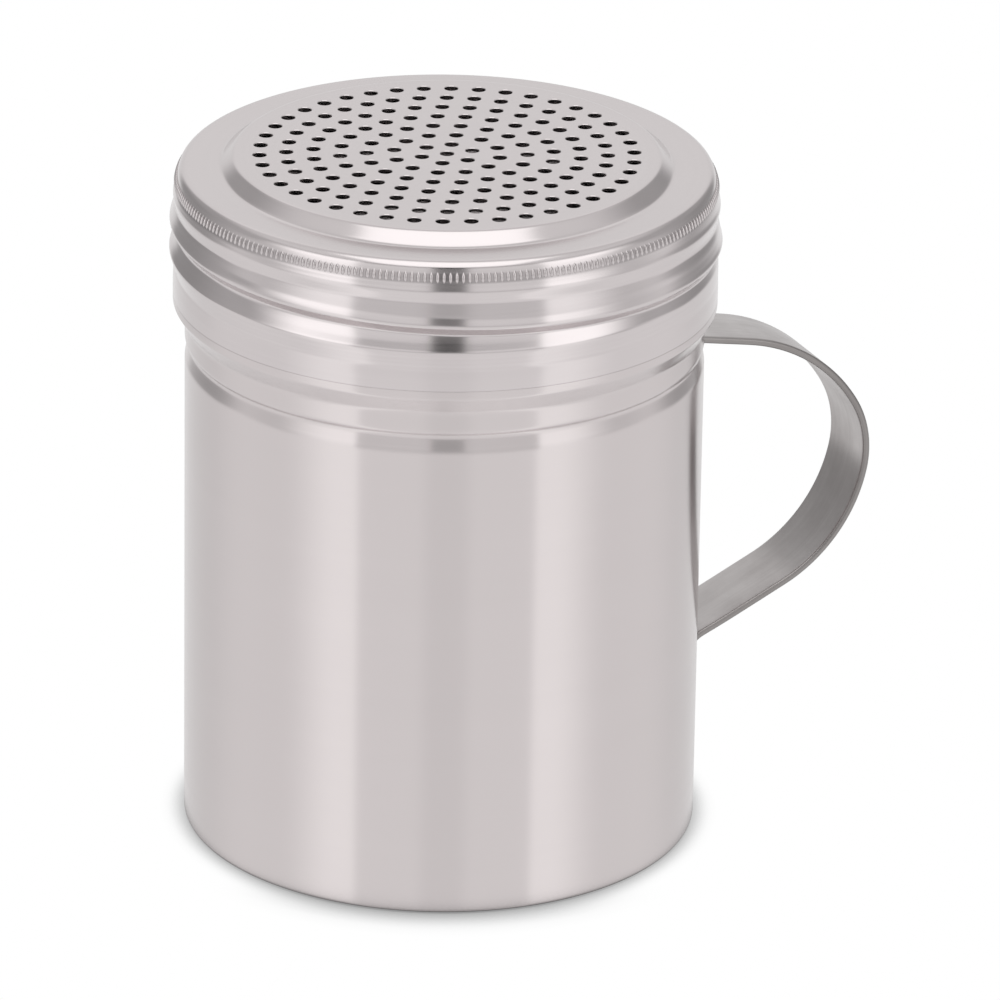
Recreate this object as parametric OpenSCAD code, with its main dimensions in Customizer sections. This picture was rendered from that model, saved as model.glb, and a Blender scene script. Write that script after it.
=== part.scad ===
// Spice shaker (dredge): a drawn steel cup with a strap handle and a screw lid with a perforated top.
// The origin is on the cup's axis in the plane it stands on. The handle points along +X, and up is +Z.

/* [Cup] */
// Outside radius of the straight wall
cup_r = 34.9; // [30:0.1:45]
// Sheet thickness of the cup
cup_sheet = 0.5; // [0.4:0.05:0.6]
// Height at which the straight wall ends and the groove begins
wall_h = 66.6; // [62:0.1:90]
// Outside radius of the corner between the wall and the base
base_corner_r = 1.8; // [1:0.1:3]
// Width of the flat ring that the cup stands on
foot_w = 2.4; // [1.5:0.1:5]
// Rise of the base panel above the foot ring
base_rise = 0.9; // [0.5:0.1:2]

/* [Shoulder and neck] */
// Depth of the groove that is rolled into the wall under the shoulder
groove_d = 0.65; // [0.3:0.05:0.9]
// Height of the groove
groove_h = 3; // [2.4:0.1:4]
// Height of the straight collar between the groove and the flare
collar_h = 2.7; // [1.5:0.1:5]
// How far the shoulder stands out beyond the wall
shoulder_out = 1.6; // [1.2:0.1:2.4]
// Height of the flare between the collar and the shoulder's edge
flare_h = 2.6; // [2:0.1:5]
// Height of the shoulder's edge
edge_h = 1.1; // [1.1:0.1:1.8]
// Step from the wall's outside in to the neck's, between its thread ridges
neck_step = 0.1; // [0:0.05:1]
// Height of the neck above the shoulder
neck_h = 17.1; // [16:0.1:24]
// Height of a thread ridge above the neck's surface
neck_ridge = 0.5; // [0.3:0.05:0.7]

/* [Lid] */
// Sheet thickness of the lid
lid_sheet = 0.45; // [0.35:0.05:0.55]
// Clearance all round between the neck's thread ridges and the lid
thread_clearance = 0.3; // [0.2:0.05:0.6]
// Gap between the neck's cut edge and the lid's underside
seat_gap = 0.2; // [0.1:0.05:0.4]
// Gap between the shoulder and the lid's rim
rim_gap = 0.2; // [0.1:0.05:0.6]
// Height of the raised top above the ledge round it
dome_rise = 1.65; // [0.8:0.05:4]
// Radius of the flat, perforated top
dome_r = 28.3; // [27:0.1:30]
// Width of the slope round the flat top
dome_slope_w = 1.9; // [1.2:0.1:3]
// Outside radius of the bend between the ledge and the grip band
lid_corner_r = 1; // [0.7:0.1:1.6]
// Height of the grip band under the ledge
grip_h = 2.65; // [2:0.05:3.8]
// How far the bead under the grip band stands out
grip_bead = 0.5; // [0.3:0.05:0.8]
// How far the lid's thread ridge stands out
thread_ridge = 0.9; // [0.5:0.05:1]
// How far the bead near the rim stands out
rim_bead = 1.05; // [0.6:0.05:1.2]
// Height of the rim's bead above the rim's edge
rim_bead_h = 5.6; // [5.2:0.1:6.2]
// Distance from the rim's bead to the thread ridge
thread_pitch = 3.5; // [3.3:0.1:4.2]
// Height of the folded rim
rim_h = 1.5; // [1:0.1:1.8]

/* [Perforations] */
// Diameter of a hole
hole_d = 1.85; // [1:0.05:2.4]
// Distance between rings of holes, which is also the spacing along a ring
hole_pitch = 3.57; // [3:0.01:3.6]
// Number of rings round the centre hole
hole_rings = 7; // [3:1:7]
// Turn of the pattern from the handle's direction
hole_turn = -4; // [-30:1:30]

/* [Handle] */
// Width of the strap
strap_w = 10.4; // [8:0.1:16]
// Thickness of the strap
strap_t = 1; // [0.8:0.05:1.4]
// How far below the groove the upper arm leaves the wall
arm_drop = 1.4; // [0.6:0.1:6]
// Straight length of the upper arm
arm_run = 8.4; // [6:0.1:12]
// Angle by which the upper arm slopes down from the wall
arm_slope = 11.5; // [8:0.5:15]
// Middle radius of the upper bend
upper_bend_r = 24.2; // [20:0.1:26]
// Angle of the upper bend
upper_bend = 47.5; // [46:0.5:50]
// Middle radius of the bend at the widest point
outer_bend_r = 14.4; // [11:0.1:16]
// Angle of the bend at the widest point
outer_bend = 43.5; // [42:0.5:46]
// Middle radius of the lower bend
lower_bend_r = 21.4; // [18:0.1:23]
// Angle of the lower bend
lower_bend = 52.5; // [51:0.5:54]
// Middle radius of the fold between the upper arm and its tab
top_fold_r = 1.1; // [1:0.05:2]
// Middle radius of the bend between the lower arm and its tab
low_fold_r = 3.5; // [2.5:0.1:5]
// Length of the flat part of each tab
tab_h = 13; // [11:0.1:14]
// Radius of the tab's corners
tab_corner_r = 2; // [1:0.1:3]

/* [Spot welds] */
// Diameter of a weld
weld_d = 3.4; // [2.5:0.1:4]
// Distance between the two welds of a tab
weld_pitch = 6; // [5:0.1:7]
// Depth of the electrode's mark in the strap's outer face
weld_mark = 0.15; // [0.05:0.05:0.3]
// Depth to which a weld reaches into the cup's sheet
weld_bite = 0.25; // [0.1:0.05:0.3]

/* [Hidden] */
$fn = 96;
round_fn = 180;
hole_fn = 24;
weld_fn = 48;
bend_steps = 6;
loop_steps = 16;
overlap = 1;

steel = [0.80, 0.79, 0.78];
lid_steel = [0.83, 0.82, 0.81];
strap_steel = [0.66, 0.64, 0.62];
weld_steel = [0.55, 0.54, 0.53];

// Heights of the cup, from the groove up
groove_top = wall_h + groove_h;
collar_top = groove_top + collar_h;
flare_top = collar_top + flare_h;
shoulder_top = flare_top + edge_h;
lip_z = shoulder_top + neck_h;
shoulder_r = cup_r + shoulder_out;
neck_r = cup_r - neck_step;

// The lid's smallest radius clears the neck's ridges, and its skin has its sheet outside that
lid_bore_r = neck_r + neck_ridge + thread_clearance;
skin_r = lid_bore_r + lid_sheet;
rim_r = skin_r + lid_sheet;

// Heights of the lid
rim_z = shoulder_top + rim_gap;
rim_bead_z = rim_z + rim_bead_h;
thread_z = rim_bead_z + thread_pitch;
ledge_z = lip_z + seat_gap + lid_sheet;
grip_foot_z = ledge_z - grip_h;
top_z = ledge_z + dome_rise;

// ---- Sheet outlines ----

function unit(v) = v / norm(v);
function left_of(v) = [-v[1], v[0]];
function cross_z(a, b) = a[0] * b[1] - a[1] * b[0];
function turned(v, a) = [v[0] * cos(a) - v[1] * sin(a), v[0] * sin(a) + v[1] * cos(a)];
function heading(a) = [cos(a), sin(a)];
function last(list) = list[len(list) - 1];

// Points along the bend at corner q, between p and s. Where a side is too short, the radius shrinks.
function bend_points(p, q, s, r, steps) =
    let (
        ahead = unit(q - p),
        turn = acos(max(-1, min(1, ahead * unit(s - q)))),
        room = 0.49 * min(norm(q - p), norm(s - q)),
        reach = r * tan(turn / 2),
        fitted = reach > room ? r * room / reach : r,
        side = cross_z(q - p, s - q) > 0 ? 1 : -1,
        start = q - ahead * min(reach, room),
        centre = start + left_of(ahead) * side * fitted
    )
    turn < 0.5 ? [q] : [
        for (i = [0:steps])
        centre + turned(start - centre, side * turn * i / steps)
    ];

// A path through corners given as [x, y, bend radius]. Its two ends have no bend.
function flat(corner) = [corner[0], corner[1]];
function bent_path(corners, steps) = concat(
    [flat(corners[0])],
    [
        for (i = [1:len(corners) - 2])
        each bend_points(flat(corners[i - 1]), flat(corners[i]), flat(corners[i + 1]), corners[i][2], steps)
    ],
    [flat(last(corners))]
);

// The same path moved to its left by d
function moved_left(path, d) = [
    for (i = [0:len(path) - 1])
    let (
        before = i == 0 ? path[1] - path[0] : path[i] - path[i - 1],
        after = i == len(path) - 1 ? before : path[i + 1] - path[i],
        mean = unit(left_of(unit(before)) + left_of(unit(after)))
    )
    path[i] + mean * d / (mean * left_of(unit(before)))
];

// Closed outline of a sheet of thickness t to the left of a path
function sheet_outline(path, t) =
    let (inner = moved_left(path, t))
    concat(path, [for (i = [len(inner) - 1:-1:0]) inner[i]]);

// ---- Cup ----

foot_in_r = cup_r - base_corner_r - foot_w;

// Shares of the groove's height that its lower and its upper side take
groove_low_side = 0.63;
groove_high_side = 0.23;

// A thread ridge's height along the neck, and the part of it that its crest takes
ridge_h = 2;
ridge_crest_h = 0.5;

// Outside radii of the cup's bends
foot_bend_r = 0.9;
wall_bend_r = 1.6;
groove_bend_r = 0.8;
flare_bend_r = 1.2;
shoulder_bend_r = 0.6;

// A rolled ridge round the neck at height z
function neck_ridge_corners(z) = [
    [neck_r, z - ridge_h / 2, shoulder_bend_r],
    [neck_r + neck_ridge, z - ridge_crest_h / 2, shoulder_bend_r],
    [neck_r + neck_ridge, z + ridge_crest_h / 2, shoulder_bend_r],
    [neck_r, z + ridge_h / 2, shoulder_bend_r]
];

// Outer outline, from the middle of the base to the neck's cut edge
cup_corners = concat(
    [
        [0, base_rise],
        [foot_in_r - base_rise, base_rise, foot_bend_r],
        [foot_in_r, 0, foot_bend_r],
        [cup_r, 0, base_corner_r],
        [cup_r, wall_h, wall_bend_r],
        [cup_r - groove_d, wall_h + groove_h * groove_low_side, groove_bend_r],
        [cup_r - groove_d, groove_top - groove_h * groove_high_side, groove_bend_r],
        [cup_r, groove_top, groove_bend_r],
        [cup_r, collar_top, flare_bend_r],
        [shoulder_r, flare_top, shoulder_bend_r],
        [shoulder_r, shoulder_top, shoulder_bend_r],
        [neck_r, shoulder_top, shoulder_bend_r]
    ],
    neck_ridge_corners(rim_bead_z),
    neck_ridge_corners(thread_z),
    [[neck_r, lip_z]]
);

module cup() {
    color(steel)
    difference() {
        rotate_extrude() polygon(sheet_outline(bent_path(cup_corners, bend_steps), cup_sheet));
        weld_pair(upper_weld_z);
        weld_pair(lower_weld_z);
    }
}

// ---- Lid ----

// Heights of the parts of the rolled side
crest_h = 0.4;
bead_side_h = 0.8;
thread_side_h = 0.6;
thread_top_h = 1.6;
waist_drop = 0.6;
waist_z = rim_z + (rim_h + rim_bead_h) / 2 - waist_drop;
thread_low_z = thread_z - crest_h / 2;
thread_high_z = thread_z + crest_h / 2;
grip_bead_z = grip_foot_z - bead_side_h - crest_h;

// How far the grip band and the furrows beside the thread ridge stand out from the waist
furrow_out = 0.1;
grip_r = skin_r + furrow_out;

// Outside radii of the lid's bends
crest_bend_r = 0.6;
furrow_bend_r = 0.4;
waist_bend_r = 0.8;
dome_bend_r = 0.8;

// Outer outline, from the rim up the side and inwards to the middle of the top
lid_corners = [
    [rim_r, rim_z],
    [rim_r, rim_z + rim_h, waist_bend_r],
    [skin_r, waist_z, waist_bend_r],
    [skin_r, waist_z + crest_h, waist_bend_r],
    [skin_r + rim_bead, rim_bead_z - crest_h / 2, crest_bend_r],
    [skin_r + rim_bead, rim_bead_z + crest_h / 2, crest_bend_r],
    [grip_r, thread_low_z - thread_side_h, furrow_bend_r],
    [skin_r + thread_ridge, thread_low_z, crest_bend_r],
    [skin_r + thread_ridge, thread_high_z, crest_bend_r],
    [grip_r, thread_high_z + thread_top_h, waist_bend_r],
    [grip_r, grip_bead_z - crest_h - bead_side_h, furrow_bend_r],
    [skin_r + grip_bead, grip_bead_z, crest_bend_r],
    [skin_r + grip_bead, grip_bead_z + crest_h, crest_bend_r],
    [grip_r, grip_foot_z, furrow_bend_r],
    [grip_r, ledge_z, lid_corner_r],
    [dome_r + dome_slope_w, ledge_z, dome_bend_r],
    [dome_r, top_z, dome_bend_r],
    [0, top_z]
];

// The rim's edge is folded up inside it
rim_bevel = 0.15;
fold_r = rim_r - lid_sheet / 2;
fold_top_z = rim_z + rim_h - rim_bevel;
rim_fold = [
    [lid_bore_r, rim_z + rim_bevel],
    [lid_bore_r + rim_bevel, rim_z],
    [fold_r, rim_z],
    [fold_r, fold_top_z],
    [lid_bore_r, fold_top_z]
];

// Holes on rings, six more on each ring than on the one inside it
module perforations() {
    rotate(hole_turn)
    translate([0, 0, top_z - lid_sheet - overlap]) {
        drill();
        for (ring = [1:hole_rings])
            for (i = [0:6 * ring - 1])
                rotate(60 * i / ring)
                translate([ring * hole_pitch, 0, 0])
                drill();
    }
}

module drill() {
    cylinder(d = hole_d, h = lid_sheet + 2 * overlap, $fn = hole_fn);
}

module lid() {
    color(lid_steel)
    difference() {
        rotate_extrude() {
            polygon(sheet_outline(bent_path(lid_corners, bend_steps), lid_sheet));
            polygon(rim_fold);
        }
        perforations();
    }
}

// ---- Handle ----

arm_top_z = wall_h - arm_drop;

// Points along a bend to the right, from point p with heading a. The first point is left out.
function right_bend(p, a, r, turn) = [
    for (i = [1:loop_steps])
    let (b = a - turn * i / loop_steps)
    p + r * [sin(a) - sin(b), cos(b) - cos(a)]
];

// Middle line of the loop as [x, z], from the upper tab to the lower tab
tab_x = cup_r + strap_t / 2;
after_upper = -arm_slope - upper_bend;
after_outer = after_upper - outer_bend;
after_lower = after_outer - lower_bend;
lower_slope = 180 + after_lower;
arm_root = [tab_x, arm_top_z];
arm_end = arm_root + arm_run * heading(-arm_slope);
upper_points = right_bend(arm_end, -arm_slope, upper_bend_r, upper_bend);
outer_points = right_bend(last(upper_points), after_upper, outer_bend_r, outer_bend);
lower_points = right_bend(last(outer_points), after_outer, lower_bend_r, lower_bend);
low_run = (last(lower_points)[0] - tab_x) / cos(lower_slope);
low_root = last(lower_points) + low_run * heading(after_lower);

upper_tab_top = arm_top_z - top_fold_r * tan((90 + arm_slope) / 2);
lower_tab_top = low_root[1] - low_fold_r * tan((90 - lower_slope) / 2);
upper_weld_z = upper_tab_top - tab_h / 2;
lower_weld_z = lower_tab_top - tab_h / 2;

loop_path = concat(
    [[tab_x, upper_tab_top - overlap]],
    bend_points([tab_x, upper_tab_top - tab_h], arm_root, arm_end, top_fold_r, bend_steps),
    [arm_end],
    upper_points,
    outer_points,
    lower_points,
    bend_points(last(lower_points), low_root, [tab_x, lower_tab_top - tab_h], low_fold_r, bend_steps),
    [[tab_x, lower_tab_top - overlap]]
);

// Front view of a tab as [y, z], with its two free corners rounded
function tab_outline(top) =
    let (side = strap_w / 2, low = top - tab_h)
    concat(
        [[-side, top]],
        bend_points([-side, top], [-side, low], [side, low], tab_corner_r, bend_steps),
        bend_points([-side, low], [side, low], [side, top], tab_corner_r, bend_steps),
        [[side, top]]
    );

// A tab is curved like the wall that it is welded to
module tab(top) {
    intersection() {
        translate([0, 0, top - 2 * tab_h])
            cylinder(r = cup_r + strap_t, h = 3 * tab_h, $fn = round_fn);
        translate([cup_r / 2, 0, 0])
            rotate([90, 0, 90])
            linear_extrude(height = cup_r)
            polygon(tab_outline(top));
    }
}

module handle() {
    color(strap_steel)
    difference() {
        union() {
            rotate([90, 0, 0])
                linear_extrude(height = strap_w, center = true)
                polygon(sheet_outline(moved_left(loop_path, -strap_t / 2), strap_t));
            tab(upper_tab_top);
            tab(lower_tab_top);
        }
        cylinder(r = cup_r, h = lip_z, $fn = round_fn);
        weld_pair(upper_weld_z);
        weld_pair(lower_weld_z);
    }
}

// ---- Spot welds ----

// Two welds, one above the other, through the strap and into the cup's sheet
module weld_pair(z) {
    for (side = [-1, 1])
        translate([cup_r - weld_bite, 0, z + side * weld_pitch / 2])
        rotate([0, 90, 0])
        cylinder(d = weld_d, h = weld_bite + strap_t + overlap, $fn = weld_fn);
}

module weld_nuggets(z) {
    color(weld_steel)
    intersection() {
        weld_pair(z);
        translate([0, 0, z - tab_h])
            cylinder(r = cup_r + strap_t - weld_mark, h = 2 * tab_h, $fn = round_fn);
    }
}

module upper_spot_welds() {
    weld_nuggets(upper_weld_z);
}

module lower_spot_welds() {
    weld_nuggets(lower_weld_z);
}

cup();
lid();
handle();
upper_spot_welds();
lower_spot_welds();
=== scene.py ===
"""Looks of a sheet steel spice shaker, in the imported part's frame.

Makes the drawn cup, the perforated lid with its thread and grip ribs, the strap handle, their finishes,
a studio and a camera.
"""

import math

import bmesh
import bpy
import numpy as np
from mathutils import Matrix, Vector


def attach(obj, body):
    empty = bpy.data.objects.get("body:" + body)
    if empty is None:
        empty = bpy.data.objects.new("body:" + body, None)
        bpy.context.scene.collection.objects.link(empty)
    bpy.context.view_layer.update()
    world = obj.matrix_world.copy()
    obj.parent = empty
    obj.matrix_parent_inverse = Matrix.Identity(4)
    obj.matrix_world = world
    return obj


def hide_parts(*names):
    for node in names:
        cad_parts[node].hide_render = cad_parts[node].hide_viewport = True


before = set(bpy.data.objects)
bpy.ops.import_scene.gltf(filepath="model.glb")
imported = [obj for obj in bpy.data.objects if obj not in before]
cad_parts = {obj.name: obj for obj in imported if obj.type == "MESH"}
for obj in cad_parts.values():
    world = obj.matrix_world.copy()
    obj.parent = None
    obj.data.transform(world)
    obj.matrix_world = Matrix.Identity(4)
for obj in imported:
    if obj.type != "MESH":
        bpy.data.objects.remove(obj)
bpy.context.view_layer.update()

MM = 0.001
COLUMNS = 240
AZIMUTH = np.arange(COLUMNS) * 2 * math.pi / COLUMNS

# Cup, in millimetres from the axis and up from the foot
WALL_R = 34.9
WALL_TOP = 66.6
CUP_SHEET = 0.5
BASE_RISE = 0.9
FOOT_R = 30.7
GROOVE_R = 34.47
GROOVE_LOW = 68.5
GROOVE_HIGH = 68.9
COLLAR_FOOT = 69.6
COLLAR_TOP = 72.3
SHOULDER_R = 36.5
FLARE_TOP = 74.9
SHOULDER_TOP = 76.0
NECK_R = 34.8
NECK_THREAD_LOW = 78.8
NECK_THREAD_HIGH = 88.6
NECK_RIDGE = 0.5
LIP = 93.1
LIP_EASE = 0.1

# Lid, in millimetres
LID_SHEET = 0.45
LID_WIDEST_R = 37.09
RIM = 76.015
RIM_R = 36.5
FOLD_R = 35.6
FOLD_TOP = 77.55
GRIP_FOOT = 91.1
GRIP_FOOT_R = 36.3
GRIP_LEAN = 0.28
LEDGE = 93.75
SLOPE_R = 30.35
DOME_R = 28.4
DOME_TOP = 95.4
PLATE_R = 27.6
RIB_MIDDLE = GRIP_FOOT + 0.68
RIB_SINK = 0.14

# Strap handle, in millimetres and degrees. The loop's bends are (radius, turn, steps)
STRAP_HALF = 5.2
STRAP_T = 1.0
STRAP_EDGE = 0.32
STRAP_R = WALL_R + STRAP_T / 2
TAB = 13.0
TAB_CORNER = 2.0
ARM_TOP = 65.2
ARM_RUN = 8.4
ARM_SLOPE = 11.5
LOOP = [(24.2, 47.5, 30), (14.4, 43.5, 20), (21.4, 52.5, 30)]
TOP_FOLD = 1.1
LOW_FOLD = 3.5
WELDS = (54.35, 60.35, 8.7, 14.7)
DIMPLE_R = 2.15
DIMPLE_EASE = 0.4
DIMPLE_DEPTH = 0.17

# The thread's turns are counted in degrees from the camera's left, so that 90 is the front and 270 the back
THREAD_START = math.radians(155.6)


# ---- Sheet outlines ----


def bent(corners, step=math.radians(9), hold=0.3):
    """Points [r, z] through corners [r, z, bend radius], with one more point close to each end of a bend."""
    corners = [np.array(c, float) for c in corners]
    arcs = [[corners[0][:2]]]
    for before, corner, after in zip(corners, corners[1:], corners[2:]):
        p, q, s = before[:2], corner[:2], after[:2]
        ahead, onward = (q - p) / np.linalg.norm(q - p), (s - q) / np.linalg.norm(s - q)
        turn = math.acos(max(-1.0, min(1.0, float(ahead @ onward))))
        # A bend takes less than half of the sides that it joins
        room = 0.49 * min(np.linalg.norm(q - p), np.linalg.norm(s - q))
        reach = min(corner[2] * math.tan(turn / 2), room)
        side = 1 if ahead[0] * onward[1] - ahead[1] * onward[0] > 0 else -1
        start = q - ahead * reach
        out = side * reach / math.tan(turn / 2) * np.array([ahead[1], -ahead[0]])
        arc = []
        for a in np.linspace(0, side * turn, max(2, math.ceil(turn / step)) + 1):
            c, n = math.cos(a), math.sin(a)
            arc.append(start - out + np.array([c * out[0] - n * out[1], n * out[0] + c * out[1]]))
        arcs.append(arc)
    arcs.append([corners[-1][:2]])
    path = arcs[0]
    for arc in arcs[1:]:
        gap = arc[0] - path[-1]
        length = np.linalg.norm(gap)
        if length > hold:
            inset = gap / length * min(hold, length / 3)
            path = path + [path[-1] + inset, arc[0] - inset]
        path = path + (arc if length > 0.02 else arc[1:])
    return np.array(path)


def beside(path, distance):
    """The same path moved to its left."""
    step = np.diff(path, axis=0)
    step /= np.linalg.norm(step, axis=1)[:, None]
    left = np.stack([-step[:, 1], step[:, 0]], 1)
    mean = np.vstack([left[:1], left[:-1] + left[1:], left[-1:]])
    mean /= np.linalg.norm(mean, axis=1)[:, None]
    first = np.vstack([left[:1], left])
    return path + mean * distance / np.sum(mean * first, axis=1)[:, None]


def levels(low, high, step):
    """Evenly spaced heights from low to high, about a step apart."""
    return np.linspace(low, high, max(2, round(abs(high - low) / step) + 1))


def soft(value, stops, blur):
    """Straight runs through stops (place, level), with the corners between them rounded off over blur."""
    places, heights = np.array(stops, float).T
    return sum(np.interp(value + shift, places, heights) for shift in np.linspace(-blur, blur, 7)) / 7


def eased(value):
    """Clips to 0 to 1, with a smooth start and end."""
    value = np.clip(value, 0, 1)
    return value * value * (3 - 2 * value)


def grip_r(z):
    """Radius of the grip band, which leans in as it rises."""
    return GRIP_FOOT_R - GRIP_LEAN * (z - GRIP_FOOT)


# ---- Rolled thread ----

# Stops along the thread are (degrees of turn, millimetres), and the crest's are heights. A thread stands out by
# "rise", its flanks are "under" and "over" tall, and the upper one has a knee, "knee" over the crest, where the
# share "left" of the rise is left
THREAD_PARTS = ("rise", "under", "over", "knee", "left")
CREST = [
    (-420, 90.2), (-310, 90.0), (-240, 89.8), (-180, 89.2), (-90, 87.9), (23, 86.2), (62, 85.75), (90, 85.3),
    (153, 84.4), (270, 83.3), (383, 82.3), (422, 81.85), (450, 81.68), (640, 81.65),
]
LID_THREAD = {
    "rise": [
        (-470, 0), (-420, 0.12), (-337, 0.24), (-270, 0.38), (-180, 0.32), (-90, 0.52), (23, 0.78), (90, 0.9),
        (153, 0.96), (270, 0.88), (383, 0.84), (450, 0.74), (480, 0.66), (513, 0.3), (560, 0.12), (640, 0),
    ],
    "under": [(-180, 1.2), (-90, 1.1), (0, 1.0), (90, 1.35), (340, 1.35), (383, 2.4), (640, 2.6)],
    "over": [
        (-240, 1.1), (-180, 1.8), (-90, 2.3), (23, 2.3), (62, 2.7), (90, 3.1), (153, 3.1), (270, 2.4),
        (383, 2.1), (422, 2.3), (450, 2.3), (476, 2.0),
    ],
    "knee": [(-180, 0.6), (-90, 1.1), (23, 1.1), (90, 1.0), (116, 1.1), (153, 1.5), (270, 1.2), (383, 1.0)],
    "left": [(0, 0.5)],
}
NECK_THREAD = {
    "rise": [(10, 0), (45, NECK_RIDGE), (375, NECK_RIDGE), (410, 0)],
    "under": [(0, 1.0)],
    "over": [(0, 1.0)],
    "knee": [(0, 0.5)],
    "left": [(0, 0.5)],
}
TURN_BLUR = 15
CREST_BLUR = 0.16
CREST_FLAT = 0.25

# Radius of the lid's side without its thread, as stops (height, radius)
SKIN_BLUR = 0.3
LID_SKIN = [
    (77.6, RIM_R), (79.4, 36.44), (81.2, 36.27), (83.4, 36.03), (84.6, 36.0), (86.4, 36.22), (88.2, 36.25),
    (89.6, 36.26), (GRIP_FOOT, GRIP_FOOT_R), (LEDGE, grip_r(LEDGE)),
]


def thread(azimuth, z, sizes):
    """How far the thread stands out: straight flanks, the upper one with a knee, and a rounded crest."""
    start = np.degrees(np.mod(azimuth - THREAD_START, 2 * math.pi))
    total = np.zeros(np.broadcast(azimuth, z).shape)
    for turn in (-360, 0, 360):
        rise, under, over, knee, left = (soft(start + turn, sizes[part], TURN_BLUR) for part in THREAD_PARTS)
        crest = soft(start + turn, CREST, TURN_BLUR)
        shifts = np.linspace(-CREST_BLUR, CREST_BLUR, 5)
        wave = 0
        for shift in shifts:
            away = z - crest + shift
            low = 1 + (away + CREST_FLAT) / under
            steep = 1 - (1 - left) * away / knee
            gentle = left * (over - away) / (over - knee)
            wave = wave + np.where(away < 0, low, np.maximum(steep, gentle)).clip(0, 1) / len(shifts)
        total += (wave * rise) ** 3
    return total ** (1 / 3)


def lid_skin(z):
    """Radius of the lid's side with its thread, over the columns."""
    return np.minimum(soft(z, LID_SKIN, SKIN_BLUR) + thread(AZIMUTH, z, LID_THREAD), LID_WIDEST_R)


# ---- Meshes ----


def turned_mesh(rows):
    """Vertices and faces of rows turned round the axis. A row is (radii over the columns, height), 0 a pole."""
    places, starts = [], []
    for radius, z in rows:
        starts.append(len(places))
        if np.max(radius) == 0:
            places.append((0, 0, z * MM))
            continue
        ring = np.stack([radius * np.cos(AZIMUTH), radius * np.sin(AZIMUTH), z + 0 * AZIMUTH], 1) * MM
        places.extend(map(tuple, ring))
    starts.append(len(places))
    faces = []
    for i in range(len(rows) - 1):
        a, b = starts[i], starts[i + 1]
        pole_a, pole_b = starts[i + 1] - a == 1, starts[i + 2] - b == 1
        for j in range(COLUMNS):
            k = (j + 1) % COLUMNS
            if pole_a:
                faces.append((a, b + k, b + j))
            elif pole_b:
                faces.append((a + j, a + k, b))
            else:
                faces.append((a + j, a + k, b + k, b + j))
    return places, faces


def round_rows(outline):
    """Rows of turned_mesh for an outline [r, z] that is the same all round."""
    return [(np.full(COLUMNS, max(r, 0.0)), z) for r, z in outline]


def finished(piece, sharp):
    """Puts a piece into the scene, smooth apart from the edges that turn by more than sharp degrees."""
    piece.data.validate()
    piece.data.shade_smooth()
    piece.data.set_sharp_from_angle(angle=math.radians(sharp))
    bpy.context.scene.collection.objects.link(piece)
    return piece


def mesh_object(name, places, faces, sharp):
    mesh = bpy.data.meshes.new(name)
    mesh.from_pydata(places, [], faces)
    return finished(bpy.data.objects.new(name, mesh), sharp)


def dressed(piece, body, slot, material, *nodes):
    """Gives a piece its finish, the body that it rides on and the nodes that it stands for. The slot is not
    used.
    """
    piece.data.materials.clear()
    piece.data.materials.append(material)
    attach(piece, body)
    if nodes:
        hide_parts(*nodes)


def make_cup():
    """The cup, from the middle of the underside up to the cut lip and down inside to the middle of the base."""
    outer = bent([
        [0, BASE_RISE],
        [FOOT_R - BASE_RISE, BASE_RISE, 0.9],
        [FOOT_R, 0, 0.9],
        [WALL_R, 0, 0.65],
        [WALL_R, WALL_TOP, 2.4],
        [GROOVE_R, GROOVE_LOW, 0.8],
        [GROOVE_R, GROOVE_HIGH, 0.8],
        [WALL_R, COLLAR_FOOT, 0.8],
        [WALL_R, COLLAR_TOP, 1.2],
        [SHOULDER_R, FLARE_TOP, 0.6],
        [SHOULDER_R, SHOULDER_TOP, 0.025],
        [NECK_R, SHOULDER_TOP, 0.6],
        [NECK_R, NECK_THREAD_LOW - 0.3],
    ])
    neck = levels(NECK_THREAD_LOW, NECK_THREAD_HIGH, 0.2)
    ridge = [thread(AZIMUTH, z, NECK_THREAD) for z in neck]
    inner_r = NECK_R - CUP_SHEET
    lip = [
        (NECK_R, LIP - LIP_EASE),
        (NECK_R - 0.3 * LIP_EASE, LIP - 0.3 * LIP_EASE),
        (NECK_R - LIP_EASE, LIP),
        (inner_r + LIP_EASE, LIP),
        (inner_r + 0.3 * LIP_EASE, LIP - 0.3 * LIP_EASE),
        (inner_r, LIP - LIP_EASE),
    ]
    rows = round_rows(outer)
    rows += [(NECK_R + out, z) for out, z in zip(ridge, neck)]
    rows += round_rows(lip)
    rows += [(inner_r + out, z) for out, z in zip(ridge[::-1], neck[::-1])]
    rows += round_rows(beside(outer, CUP_SHEET)[::-1])
    return mesh_object("drawn_cup", *turned_mesh(rows), sharp=60)


def make_lid_side():
    """The lid's side, ledge and slope, from the plate's underside round the folded rim to the plate's top."""
    crown_foot = GRIP_FOOT + 0.8
    crown = bent([
        [grip_r(crown_foot), crown_foot],
        [grip_r(LEDGE), LEDGE, 1.75],
        [SLOPE_R, LEDGE, 1.2],
        [DOME_R, DOME_TOP, 1.2],
        [PLATE_R, DOME_TOP],
    ])
    rim = bent([
        [RIM_R - LID_SHEET, FOLD_TOP + 0.25],
        [RIM_R - LID_SHEET, FOLD_TOP, 0.05],
        [FOLD_R, FOLD_TOP, 0.2],
        [FOLD_R, RIM, 0.1],
        [RIM_R, RIM, 0.025],
        [RIM_R, RIM + 0.5],
    ])
    side_top = GRIP_FOOT + 0.7
    rows = round_rows(beside(crown, LID_SHEET)[::-1])
    rows += [(lid_skin(z) - LID_SHEET, z) for z in levels(side_top, FOLD_TOP + 0.4, 0.24)]
    rows += round_rows(rim)
    rows += [(lid_skin(z), z) for z in levels(RIM + 0.65, side_top, 0.125)]
    rows += round_rows(crown)
    return turned_mesh(rows)


# ---- Node trees ----


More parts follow.
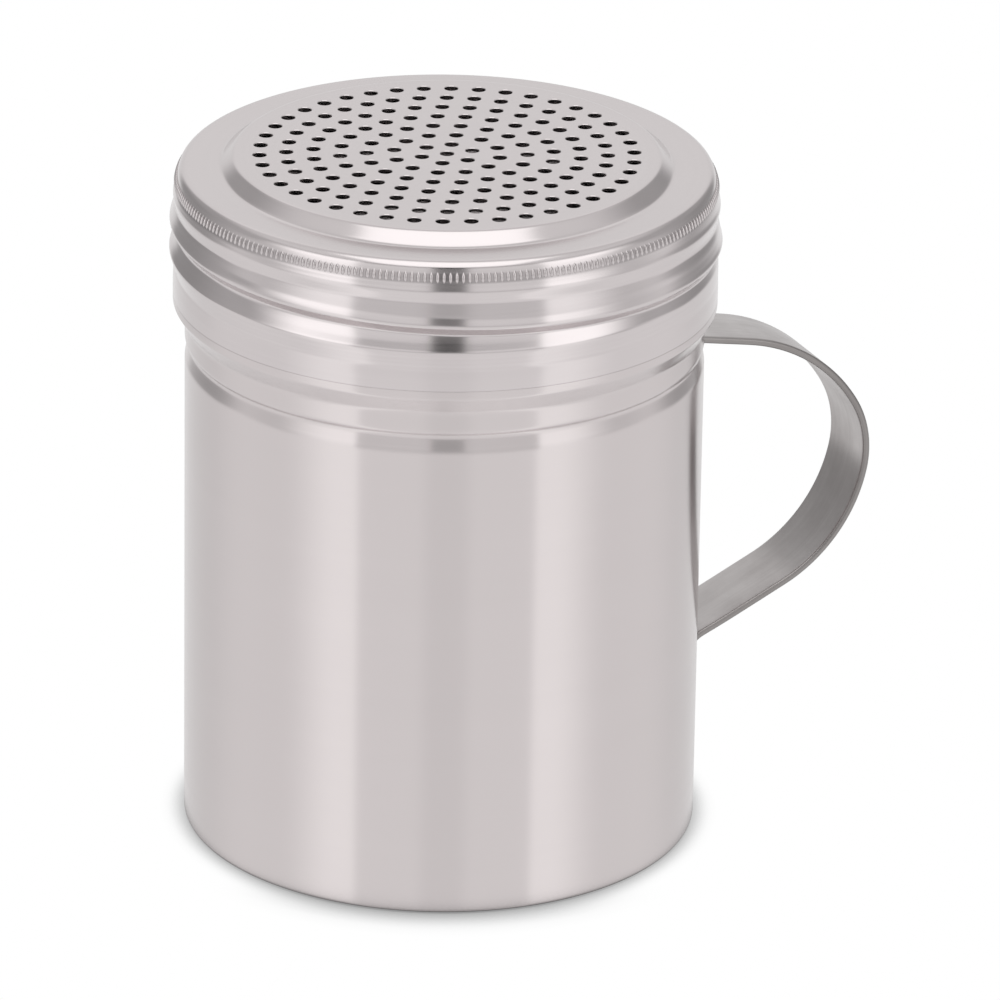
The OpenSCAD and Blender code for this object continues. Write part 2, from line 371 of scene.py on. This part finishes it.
class Value:
    """A socket that takes part in Python arithmetic. Each operation adds one Math node."""

    def __init__(self, tree, socket):
        self.tree, self.socket = tree, socket

    def __add__(self, other):
        return self.tree.math("ADD", self, other)

    def __sub__(self, other):
        return self.tree.math("SUBTRACT", self, other)

    def __rsub__(self, other):
        return self.tree.math("SUBTRACT", other, self)

    def __mul__(self, other):
        return self.tree.math("MULTIPLY", self, other)

    def __truediv__(self, other):
        return self.tree.math("DIVIDE", self, other)

    def __abs__(self):
        return self.tree.math("ABSOLUTE", self)

    __radd__ = __add__
    __rmul__ = __mul__


class Made:
    """A node that was added: its outputs by name, identifier or number."""

    def __init__(self, tree, node):
        self.tree, self.node = tree, node

    def __getitem__(self, key):
        return Value(self.tree, Tree.socket(self.node.outputs, key))


class Tree:
    """Adds nodes to the tree of a shader, the world or a geometry."""

    def __init__(self, tree):
        self.tree = tree

    @staticmethod
    def socket(sockets, key):
        """A socket by its number, identifier or name."""
        if isinstance(key, int):
            return sockets[key]
        exact = [s for s in sockets if s.identifier == key]
        return exact[0] if exact else next(s for s in sockets if s.name == key and s.enabled)

    def put(self, value, target):
        """Links a Value to a socket, or sets the socket to a plain value."""
        if isinstance(value, Value):
            self.tree.links.new(value.socket, target)
        else:
            target.default_value = value

    def add(self, kind, settings=None, sockets=None):
        """Adds a node. Its settings, or a ramp's stops as (place, colour), are set before its sockets."""
        node = self.tree.nodes.new(kind)
        for name, value in (settings or {}).items():
            if name == "stops":
                ramp = node.color_ramp
                while len(ramp.elements) < len(value):
                    ramp.elements.new(0.5)
                for element, (place, colour) in zip(ramp.elements, value):
                    element.position, element.color = place, colour
            else:
                setattr(node, name, value)
        for key, value in (sockets or {}).items():
            self.put(value, self.socket(node.inputs, key))
        return Made(self, node)

    def join(self, *shapes):
        """One geometry from several."""
        made = self.add("GeometryNodeJoinGeometry")
        for shape in shapes:
            self.put(shape, made.node.inputs[0])
        return made[0]

    def math(self, operation, *terms):
        return self.add("ShaderNodeMath", {"operation": operation}, dict(enumerate(terms)))[0]

    def step(self, value, low, high, to_low=0.0, to_high=1.0):
        """A smooth step of value from low to high."""
        return self.add(
            "ShaderNodeMapRange",
            {"interpolation_type": "SMOOTHSTEP"},
            {"Value": value, "From Min": low, "From Max": high, "To Min": to_low, "To Max": to_high},
        )["Result"]

    def mix(self, factor, a, b):
        return self.add(
            "ShaderNodeMix", {"data_type": "RGBA"}, {"Factor_Float": factor, "A_Color": a, "B_Color": b}
        )["Result_Color"]

    def parts(self, vector):
        made = self.add("ShaderNodeSeparateXYZ", None, {0: vector})
        return made[0], made[1], made[2]

    def vector(self, x, y, z):
        return self.add("ShaderNodeCombineXYZ", None, {0: x, 1: y, 2: z})[0]

    def noise(self, vector, scale, detail, roughness=0.5):
        return self.add(
            "ShaderNodeTexNoise", None,
            {"Vector": vector, "Scale": scale, "Detail": detail, "Roughness": roughness},
        )["Fac"]

    def bump(self, strength, distance, height):
        return self.add(
            "ShaderNodeBump", None, {"Strength": strength, "Distance": distance, "Height": height}
        )["Normal"]

    def placed(self, shape, **sockets):
        """A geometry moved by Translation or sized by Scale."""
        return self.add("GeometryNodeTransform", None, {"Geometry": shape, **sockets})["Geometry"]


def grey(level):
    return (level, level, level, 1.0)


def toned(colour, factor):
    """A colour made lighter or darker, with its alpha."""
    return tuple(c * factor for c in colour) + (1.0,)


def node_material(name):
    """A new material without nodes, and its tree."""
    material = bpy.data.materials.new(name)
    material.use_nodes = True
    material.node_tree.nodes.clear()
    return material, Tree(material.node_tree)


def metal(tree, **sockets):
    """Ends a material's tree in a metallic Principled shader. Sockets are named with _ for a space."""
    principled = tree.add("ShaderNodeBsdfPrincipled")
    tree.add("ShaderNodeOutputMaterial", None, {"Surface": principled["BSDF"]})
    for key, value in {"Metallic": 1.0, **sockets}.items():
        tree.put(value, principled.node.inputs[key.replace("_", " ")])


# ---- Finishes ----


def turned_steel(name, colour, rough, spread, lines, smudge, bump, shaded_rib_gaps=False):
    """Steel polished on a lathe: fine lines round the axis, faint smudges, and painted shade in the gaps
    between any grip ribs.
    """
    material, tree = node_material(name)
    place = tree.add("ShaderNodeTexCoord")["Object"]
    x, y, z = tree.parts(place)
    radius = tree.math("SQRT", x * x + y * y)
    # Noise that changes fast up the wall and in across the top, and slowly round the axis
    across = z + radius * 0.7
    line = tree.noise(tree.vector(x * 6, y * 6, across * 2600), 1.0, 3.0, 0.6)
    broad = tree.noise(tree.vector(x * 14, y * 14, across * 240), 1.0, 2.0)
    cloud = tree.noise(place, 60.0, 4.0, 0.55)
    tone = (line - 0.5) * lines + (broad - 0.5) * (0.6 * lines) + (cloud - 0.5) * smudge
    base = tree.mix(tone + 0.5, toned(colour, 0.86), toned(colour, 1.14))
    if shaded_rib_gaps:
        # Painted shade between the grip ribs: the gaps lie within 0.1 mm of the band, between the ends of the
        # ribs, and the rib tips get a little of the shade too
        stands_out = radius - grip_r(0) * MM + z * GRIP_LEAN
        gap = tree.step(stands_out, 0.11 * MM, 0.02 * MM, 0.15, 0.45)
        band = tree.step(z, (GRIP_FOOT - 0.2) * MM, (GRIP_FOOT + 0.15) * MM)
        band = band * tree.step(z, (GRIP_FOOT + 1.4) * MM, (GRIP_FOOT + 1.05) * MM)
        base = tree.mix(band * gap, base, toned(colour, 0.4))
    metal(
        tree,
        Base_Color=base,
        Roughness=tree.step(line * 0.5 + cloud * 0.5, 0.25, 0.75, rough * 0.88, rough * 1.12),
        Anisotropic=spread,
        Anisotropic_Rotation=0.25,
        Normal=tree.bump(bump, 0.02 * MM, line),
    )
    return material


def strap_steel():
    """Mill finish: grain along the strap, dull clouds, a darker colour along both edges, straw tint round the
    welds.
    """
    material, tree = node_material("milled_strap_steel")
    place = tree.add("ShaderNodeTexCoord")["Object"]
    x, y, z = tree.parts(place)
    grain = tree.noise(tree.vector(x * 30, y * 2600, z * 30), 1.0, 3.0, 0.6)
    streak = tree.noise(tree.vector(x * 22, y * 420, z * 22), 1.0, 2.0)
    cloud = tree.noise(place, 110.0, 5.0, 0.6)
    spot = tree.noise(place, 420.0, 3.0, 0.65)
    tone = (grain - 0.5) * 0.5 + (streak - 0.5) * 0.5 + (cloud - 0.5) * 1.1 + (spot - 0.5) * 0.35
    plain = tree.mix(tone + 0.5, (0.37, 0.345, 0.34, 1), (0.55, 0.525, 0.52, 1))
    rings = []
    for height in WELDS:
        drop = z - height * MM
        away = tree.math("SQRT", y * y + drop * drop)
        rings.append(tree.step(away, 3.4 * MM, 2.2 * MM))
    tint = rings[0]
    for ring in rings[1:]:
        tint = tree.math("MAXIMUM", tint, ring)
    tint = tint * tree.step(x, 37.2 * MM, 36.4 * MM)
    burnt = tree.mix(tint * 0.55, plain, (0.42, 0.33, 0.22, 1))
    # The base colour darkens towards both edges of the strap
    edge = tree.step(abs(y), 4.7 * MM, STRAP_HALF * MM)
    metal(
        tree,
        Base_Color=tree.mix(edge * 0.85, burnt, (0.22, 0.205, 0.2, 1)),
        Roughness=tree.step(grain * 0.3 + cloud * 0.7, 0.25, 0.75, 0.36, 0.27),
        Normal=tree.bump(0.25, 0.03 * MM, grain),
    )
    return material


def weld_steel():
    """Metal pressed flat by an electrode: dull, grainy, with a blue-brown tint."""
    material, tree = node_material("pressed_weld_steel")
    place = tree.add("ShaderNodeTexCoord")["Object"]
    cloud = tree.noise(place, 700.0, 4.0, 0.6)
    grit = tree.noise(place, 5200.0, 2.0, 0.6)
    ramp = tree.add(
        "ShaderNodeValToRGB",
        {"stops": [(0.3, (0.22, 0.19, 0.17, 1)), (0.5, (0.40, 0.36, 0.32, 1)), (0.7, (0.34, 0.36, 0.41, 1))]},
        {"Fac": cloud},
    )
    metal(
        tree,
        Base_Color=ramp["Color"],
        Roughness=tree.step(grit, 0.3, 0.7, 0.38, 0.55),
        Normal=tree.bump(0.4, 0.04 * MM, grit),
    )
    return material


# ---- Geometry node pieces ----


def geometry_piece(name, inputs, build, material):
    """An unlinked object made by a geometry node tree. inputs are (name, value), and build draws the tree."""
    group = bpy.data.node_groups.new(name, "GeometryNodeTree")
    group.interface.new_socket("Geometry", in_out="INPUT", socket_type="NodeSocketGeometry")
    keys = {}
    for label, value in inputs:
        kind = "NodeSocketInt" if isinstance(value, int) else "NodeSocketFloat"
        keys[group.interface.new_socket(label, in_out="INPUT", socket_type=kind).identifier] = value
    finish = group.interface.new_socket("Finish", in_out="INPUT", socket_type="NodeSocketMaterial")
    keys[finish.identifier] = material
    group.interface.new_socket("Geometry", in_out="OUTPUT", socket_type="NodeSocketGeometry")
    tree = Tree(group)
    given = tree.add("NodeGroupInput")
    shape = build(tree, given)
    whole = tree.add("GeometryNodeRealizeInstances", None, {"Geometry": shape})["Geometry"]
    coated = tree.add("GeometryNodeSetMaterial", None, {"Geometry": whole, "Material": given["Finish"]})
    tree.add("NodeGroupOutput", None, {0: coated["Geometry"]})
    carrier = bpy.data.objects.new(name + "_maker", bpy.data.meshes.new(name + "_maker"))
    bpy.context.scene.collection.objects.link(carrier)
    modifier = carrier.modifiers.new("maker", "NODES")
    modifier.node_group = group
    for key, value in keys.items():
        modifier[key] = value
    bpy.context.view_layer.update()
    evaluated = carrier.evaluated_get(bpy.context.evaluated_depsgraph_get())
    mesh = bpy.data.meshes.new_from_object(evaluated)
    mesh.name = name
    carrier.modifiers.remove(modifier)
    bpy.data.objects.remove(carrier)
    return bpy.data.objects.new(name, mesh)


def draw_plate(tree, given):
    """The perforated plate: two skins, and a tube with an eased upper edge through them at every hole."""
    # Ring n holds 6 n holes, after the one in the middle
    index = tree.add("GeometryNodeInputIndex")[0]
    ring = tree.math("CEIL", (tree.math("SQRT", index * 12 + 9) - 3) / 6)
    around = index - 1 - ring * (ring - 1) * 3
    turn = around / tree.math("MAXIMUM", ring * 6, 1) * (2 * math.pi) + given["Turn"]
    radius = ring * given["Pitch"]
    spot = tree.vector(radius * tree.math("COSINE", turn), radius * tree.math("SINE", turn), 0.0)
    points = tree.add("GeometryNodePoints", None, {"Count": given["Holes"], "Position": spot})[0]
    sides = given["Hole sides"]
    sheet = given["Sheet"]
    ease = given["Edge ease"]
    hole_r = given["Hole diameter"] * 0.5
    upper_r = hole_r + ease
    top = given["Top height"]
    low = top - sheet

    def circle(count, radius):
        return tree.add(
            "GeometryNodeCurvePrimitiveCircle", None, {"Resolution": count, "Radius": radius}
        )["Curve"]

    def flipped(mesh):
        return tree.add("GeometryNodeFlipFaces", None, {"Mesh": mesh})["Mesh"]

    def scattered(instance):
        put = tree.add("GeometryNodeInstanceOnPoints", None, {"Points": points, "Instance": instance})
        return tree.add("GeometryNodeRealizeInstances", None, {"Geometry": put["Instances"]})["Geometry"]

    def skin(radius):
        edge = circle(given["Edge sides"], given["Plate radius"])
        curves = tree.join(scattered(circle(sides, radius)), edge)
        return tree.add("GeometryNodeFillCurve", {"mode": "TRIANGLES"}, {"Curve": curves})["Mesh"]

    def tube(low_r, high_r, depth):
        cone = tree.add(
            "GeometryNodeMeshCone", {"fill_type": "NONE"},
            {"Vertices": sides, "Radius Top": high_r, "Radius Bottom": low_r, "Depth": depth},
        )["Mesh"]
        return scattered(flipped(cone))

    shapes = [
        (skin(upper_r), top),
        (flipped(skin(hole_r)), low),
        (tube(hole_r, upper_r, ease), top - ease),
        (tube(hole_r, hole_r, sheet - ease), low),
    ]
    whole = tree.join(*(tree.placed(shape, Translation=tree.vector(0.0, 0.0, up)) for shape, up in shapes))
    merged = tree.add("GeometryNodeMergeByDistance", None, {"Geometry": whole, "Distance": 0.004})["Geometry"]
    return tree.placed(merged, Scale=(MM, MM, MM))


def draw_ribs(tree, given):
    """Upright grip ribs round the lid: a low closed bar, half sunk in the sheet, on every point of a circle."""
    circle = tree.add(
        "GeometryNodeCurvePrimitiveCircle", None, {"Resolution": given["Rib sides"], "Radius": 1.0}
    )["Curve"]
    section = tree.placed(circle, Scale=tree.vector(given["Rib height"], given["Rib width"] * 0.5, 1.0))
    half = given["Rib length"] * 0.5
    lean = half * given["Lean"]
    rail = tree.add(
        "GeometryNodeCurvePrimitiveLine", None,
        {"Start": tree.vector(lean, 0.0, half * -1), "End": tree.vector(lean * -1, 0.0, half)},
    )["Curve"]
    rail = tree.add("GeometryNodeResampleCurve", None, {"Curve": rail, "Count": 5})["Curve"]
    along = tree.add("GeometryNodeSplineParameter")["Factor"]
    swell = tree.step(abs(along - 0.5), 0.5, 0.2, 0.3, 1.0)
    bar = tree.add(
        "GeometryNodeCurveToMesh", None,
        {"Curve": rail, "Profile Curve": section, "Scale": swell, "Fill Caps": True},
    )["Mesh"]
    ring = tree.add(
        "GeometryNodeMeshCircle", None, {"Vertices": given["Ribs"], "Radius": given["Radius"]}
    )["Mesh"]
    x, y, _ = tree.parts(tree.add("GeometryNodeInputPosition")[0])
    aim = tree.vector(0.0, 0.0, tree.math("ARCTAN2", y, x))
    stood = tree.add(
        "GeometryNodeInstanceOnPoints", None, {"Points": ring, "Instance": bar, "Rotation": aim}
    )["Instances"]
    raised = tree.placed(stood, Translation=tree.vector(0.0, 0.0, given["Height"]))
    return tree.placed(raised, Scale=(MM, MM, MM))


def joined(name, side, plate):
    """The lid's side and its perforated plate, welded into one closed skin."""
    work = bmesh.new()
    work.from_mesh(plate.data)
    ring = [work.verts.new(place) for place in side[0]]
    for face in side[1]:
        work.faces.new([ring[i] for i in face])
    bmesh.ops.remove_doubles(work, verts=work.verts, dist=0.003 * MM)
    work.normal_update()
    mesh = bpy.data.meshes.new(name)
    work.to_mesh(mesh)
    work.free()
    old = plate.data
    bpy.data.objects.remove(plate)
    bpy.data.meshes.remove(old)
    return bpy.data.objects.new(name, mesh)


# ---- Strap handle ----


def bend(points, heading, radius, turn, steps):
    """Adds a bend to the right, or to the left for a negative radius and turn. Returns the new heading."""
    x, z = points[-1]
    a = math.radians(heading)
    for i in range(1, steps + 1):
        b = math.radians(heading - turn * i / steps)
        points.append((x + radius * (math.sin(a) - math.sin(b)), z + radius * (math.cos(b) - math.cos(a))))
    return heading - turn


def run(points, heading, length, steps):
    """Adds a straight run."""
    x, z = points[-1]
    a = math.radians(heading)
    for i in range(1, steps + 1):
        points.append((x + length * i / steps * math.cos(a), z + length * i / steps * math.sin(a)))


def strap_path():
    """The strap's middle line [x, z], from the end of the upper tab round the loop to the lower tab's end."""
    reach = TOP_FOLD * math.tan(math.radians((90 + ARM_SLOPE) / 2))
    points = [(STRAP_R, ARM_TOP - reach - TAB)]
    run(points, 90, TAB, 32)
    heading = bend(points, 90, TOP_FOLD, 90 + ARM_SLOPE, 14)
    run(points, heading, ARM_RUN - reach, 10)
    for radius, turn, steps in LOOP:
        heading = bend(points, heading, radius, turn, steps)
    back = math.radians(180 + heading)
    reach = LOW_FOLD * math.tan((math.radians(90) - back) / 2)
    run(points, heading, (points[-1][0] - STRAP_R) / math.cos(back) - reach, 16)
    heading = bend(points, heading, -LOW_FOLD, 90 + heading, 12)
    run(points, heading, TAB, 32)
    return np.array(points)


def strap_section():
    """The strap's cross-section [across, out], with rounded edges."""
    flat = STRAP_HALF - STRAP_EDGE
    half = STRAP_T / 2
    across = np.linspace(-flat, flat, 27)
    turns = np.radians([60, 30, 0, -30, -60])
    rounding = [(flat + STRAP_EDGE * math.cos(a), half * math.sin(a)) for a in turns]
    section = [(v, half) for v in across] + rounding
    section += [(v, -half) for v in across[::-1]] + [(-v, h) for v, h in rounding[::-1]]
    return np.array(section)


def make_strap():
    """The strap handle: round-cornered tabs hug the wall and are dimpled over the welds."""
    path, section = strap_path(), strap_section()
    step = np.gradient(path, axis=0)
    step /= np.linalg.norm(step, axis=1)[:, None]
    normal = np.stack([step[:, 1], -step[:, 0]], 1)
    along = np.concatenate([[0], np.cumsum(np.linalg.norm(np.diff(path, axis=0), axis=1))])
    from_end = np.minimum(along, along[-1] - along)
    hugging = eased((TAB + 9 - from_end) / 8)
    places = []
    for i, (x, z) in enumerate(path):
        corner = max(TAB_CORNER - from_end[i], 0)
        half_width = STRAP_HALF - TAB_CORNER + math.sqrt(TAB_CORNER ** 2 - corner ** 2)
        v = section[:, 0] * half_width / STRAP_HALF
        h = section[:, 1] * (0.55 if from_end[i] < 0.01 else 1.0)
        if from_end[i] < TAB:
            for height in WELDS:
                inside = eased((DIMPLE_R - np.hypot(v, z - height)) / DIMPLE_EASE)
                h = np.where(h > 0.3, h - DIMPLE_DEPTH * inside, h)
        radial = STRAP_R + h
        crown = hugging[i] * (np.sqrt(radial * radial - v * v) - radial)
        px = x + normal[i, 0] * h + crown
        pz = z + normal[i, 1] * h
        places.extend(zip(px * MM, v * MM, pz * MM))
    count = len(section)
    last = (len(path) - 1) * count
    faces = []
    for a in range(0, last, count):
        for j in range(count):
            k = (j + 1) % count
            faces.append((a + j, a + k, a + count + k, a + count + j))
    faces.append(tuple(range(count))[::-1])
    faces.append(tuple(range(last, last + count)))
    return mesh_object("strap_handle", places, faces, sharp=50)


# ---- Studio ----

# The camera looks along +Y, turned to +X and dropped, at a point AIM mm up the axis and AWAY mm from it. Shifts
# and lens are in widths of the picture
CAMERA_TURN = math.radians(24.4)
CAMERA_DROP = math.radians(22.85)
CAMERA_ROLL = math.radians(0.77)
CAMERA_AWAY = 1208.0
CAMERA_AIM = 47.7
SHIFT_X = 0.0573
SHIFT_Y = -0.0164
LENS_WIDTHS = 8.935
SENSOR = 36

# Levels of the studio, where 1 is white
WALLS = 0.58
SOFT_BOXES = 1.1
OVERHEAD_BOX = 1.68
BACKDROP = 0.47
CAMERA_SPOT = 0.76

FLOOR_HALF = 3.0


def make_camera():
    right = Vector((math.cos(CAMERA_TURN), -math.sin(CAMERA_TURN), 0))
    ahead = Vector((
        math.sin(CAMERA_TURN) * math.cos(CAMERA_DROP),
        math.cos(CAMERA_TURN) * math.cos(CAMERA_DROP),
        -math.sin(CAMERA_DROP),
    ))
    up = right.cross(ahead)
    c, s = math.cos(CAMERA_ROLL), math.sin(CAMERA_ROLL)
    side, top = c * right + s * up, c * up - s * right
    place = (Vector((0, 0, CAMERA_AIM)) - CAMERA_AWAY * ahead) * MM
    camera = bpy.data.cameras.new("view")
    camera.sensor_width = SENSOR
    camera.lens = SENSOR * LENS_WIDTHS
    camera.shift_x = SHIFT_X
    camera.shift_y = SHIFT_Y
    camera.clip_start = 0.05
    camera.clip_end = 20
    holder = bpy.data.objects.new("view", camera)
    holder.matrix_world = Matrix((
        (side.x, top.x, -ahead.x, place.x),
        (side.y, top.y, -ahead.y, place.y),
        (side.z, top.z, -ahead.z, place.z),
        (0, 0, 0, 1),
    ))
    bpy.context.scene.collection.objects.link(holder)
    bpy.context.scene.camera = holder


def toward_camera(x, y):
    """How far a place or direction reaches to the side of the room that the camera stands on."""
    return x * -math.sin(CAMERA_TURN) - y * math.cos(CAMERA_TURN)


def make_world():
    """A white room to look at, which lights as a studio: white floor and backdrop, grey walls, soft boxes."""
    world = bpy.data.worlds.new("studio")
    bpy.context.scene.world = world
    world.use_nodes = True
    world.node_tree.nodes.clear()
    tree = Tree(world.node_tree)
    x, y, z = tree.parts(tree.add("ShaderNodeTexCoord")["Generated"])
    right = x * math.cos(CAMERA_TURN) - y * math.sin(CAMERA_TURN)
    toward = toward_camera(x, y)

    # Degrees round the room, alike to both sides from 2 degrees beside the camera, and over the horizon
    azimuth = abs(tree.math("ARCTAN2", right, toward) * math.degrees(1) - 2.0)
    height = tree.math("ARCSINE", z) * math.degrees(1)

    # The strip of the room ahead, between the boxes, and the dark spot round the camera
    ahead = tree.step(azimuth, 41.5, 37.5)
    spot = tree.step(azimuth, 9, 5) * tree.step(height, 3, 8) * tree.step(height, 36, 30)

    # The floor is lighter under the boxes, and darker under the camera and towards the back
    box_glow = tree.step(azimuth, 37.5, 41.5) * tree.step(azimuth, 77, 49)
    dim = tree.step(azimuth, 14, 6) * 0.06 + tree.step(azimuth, 95, 145) * 0.11 + spot * 0.7
    floor = 1.0 + ahead * 0.03 + box_glow * 0.24 - dim

    # The walls, with the backdrop, the light lower part ahead and the two tall boxes
    shade = tree.step(azimuth, 95, 130) * tree.step(height, 8, 24, 0.18, 0.09)
    shade = shade - tree.step(height, 30, 50) * 0.34
    backdrop = tree.step(azimuth, 146, 158) * tree.step(height, 55, 38)
    boxes = tree.step(azimuth, 37.5, 41.5) * tree.step(azimuth, 90, 62) * tree.step(height, 38, 24)
    walls = WALLS - shade + backdrop * BACKDROP + ahead * tree.step(height, 27, 23) * 0.44
    walls = walls + boxes * SOFT_BOXES - spot * CAMERA_SPOT

    # The box overhead, which leans to the camera
    overhead = tree.step(abs(right), 0.46, 0.38) * tree.step(z * 0.944 + toward * 0.33, 0.80, 0.88)
    room = walls + overhead * (OVERHEAD_BOX - walls)

    # The floor's edge, which lies higher towards the backdrop, and the haze along it
    above = tree.step(height + tree.step(azimuth, 80, 122) * 21, 2, 10)
    haze = tree.step(height, -15, -7) * tree.step(height, 11, 4) * tree.step(azimuth, 105, 75)
    level = floor + above * (room - floor) - haze * (1.0 - box_glow) * 0.24

    seen = tree.add("ShaderNodeLightPath")["Is Camera Ray"]
    colour = tree.mix(seen, tree.vector(level, level, level), grey(1.0))
    background = tree.add("ShaderNodeBackground", None, {"Color": colour, "Strength": 1.0})
    tree.add("ShaderNodeOutputWorld", None, {"Surface": background["Background"]})


def make_floor():
    """White floor with a short contact shadow. Reflections look past it at the studio, dimmed by the shadow."""
    material, tree = node_material("white_floor")
    x, y, _ = tree.parts(tree.add("ShaderNodeTexCoord")["Object"])
    short, long = (
        tree.add("ShaderNodeAmbientOcclusion", {"samples": 8}, {"Distance": reach * MM})["AO"]
        for reach in (3.5, 7.5)
    )
    # The shadow is longer and deeper before the cup, from 20 mm to 36 mm towards the camera
    before = tree.step(toward_camera(x, y), 20 * MM, 36 * MM)
    near = short + (long - short) * before
    shade = tree.step(near, 0.35, 0.97, 0.48 - before * 0.18, 1.0)
    faint = tree.step(near, 0.32, 0.82, 0.2, 1.0)
    tone, glass = (tree.vector(level, level, level) for level in (shade, faint))
    glow = tree.add("ShaderNodeEmission", None, {"Color": tone, "Strength": 1.0})["Emission"]
    pale = tree.add("ShaderNodeBsdfDiffuse", None, {"Color": grey(0.9)})["BSDF"]
    clear = tree.add("ShaderNodeBsdfTransparent", None, {"Color": glass})["BSDF"]
    path = tree.add("ShaderNodeLightPath")
    mirrored = tree.add("ShaderNodeMixShader", None, {0: path["Is Glossy Ray"], 1: pale, 2: clear})["Shader"]
    whole = tree.add("ShaderNodeMixShader", None, {0: path["Is Camera Ray"], 1: mirrored, 2: glow})["Shader"]
    tree.add("ShaderNodeOutputMaterial", None, {"Surface": whole})
    corners = [(-1, -1), (1, -1), (1, 1), (-1, 1)]
    mesh = bpy.data.meshes.new("floor")
    places = [(across * FLOOR_HALF, along * FLOOR_HALF, -0.01 * MM) for across, along in corners]
    mesh.from_pydata(places, [], [(0, 1, 2, 3)])
    mesh.materials.append(material)
    floor = bpy.data.objects.new("floor", mesh)
    bpy.context.scene.collection.objects.link(floor)


# ---- Assembly ----

make_camera()
make_world()
make_floor()

cup_steel = turned_steel(
    "satin_cup_steel", (0.600, 0.556, 0.556), rough=0.17, spread=1.0, lines=0.12, smudge=0.14, bump=0.08
)
# The lid's steel has painted shade in the gaps between its grip ribs
lid_steel = turned_steel(
    "polished_lid_steel", (0.600, 0.558, 0.560), rough=0.17, spread=0.7, lines=0.22, smudge=0.12, bump=0.06,
    shaded_rib_gaps=True,
)
weld_finish = weld_steel()

dressed(make_cup(), "cup", "cup_steel", cup_steel, "cup")
dressed(make_strap(), "cup", "strap_steel", strap_steel(), "handle")

plate = geometry_piece(
    "perforated_plate",
    [
        ("Holes", 169),
        ("Hole diameter", 1.85),
        ("Edge ease", 0.08),
        ("Hole sides", 20),
        ("Pitch", 3.57),
        ("Turn", math.radians(-4)),
        ("Plate radius", PLATE_R),
        ("Edge sides", COLUMNS),
        ("Sheet", LID_SHEET),
        ("Top height", DOME_TOP),
    ],
    draw_plate,
    lid_steel,
)
lid = finished(joined("perforated_lid", make_lid_side(), plate), sharp=40)
dressed(lid, "lid", "lid_steel", lid_steel, "lid")

ribs = geometry_piece(
    "grip_ribs",
    [
        ("Ribs", 270),
        ("Radius", grip_r(RIB_MIDDLE) - RIB_SINK),
        ("Height", RIB_MIDDLE),
        ("Lean", GRIP_LEAN),
        ("Rib length", 1.45),
        ("Rib width", 0.7),
        ("Rib height", 0.29),
        ("Rib sides", 10),
    ],
    draw_ribs,
    lid_steel,
)
dressed(finished(ribs, sharp=60), "lid", "lid_steel", lid_steel)

for name in ("upper_spot_welds", "lower_spot_welds"):
    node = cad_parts[name]
    node.data.materials.clear()
    node.data.materials.append(weld_finish)

bpy.context.scene.view_settings.view_transform = "Standard"
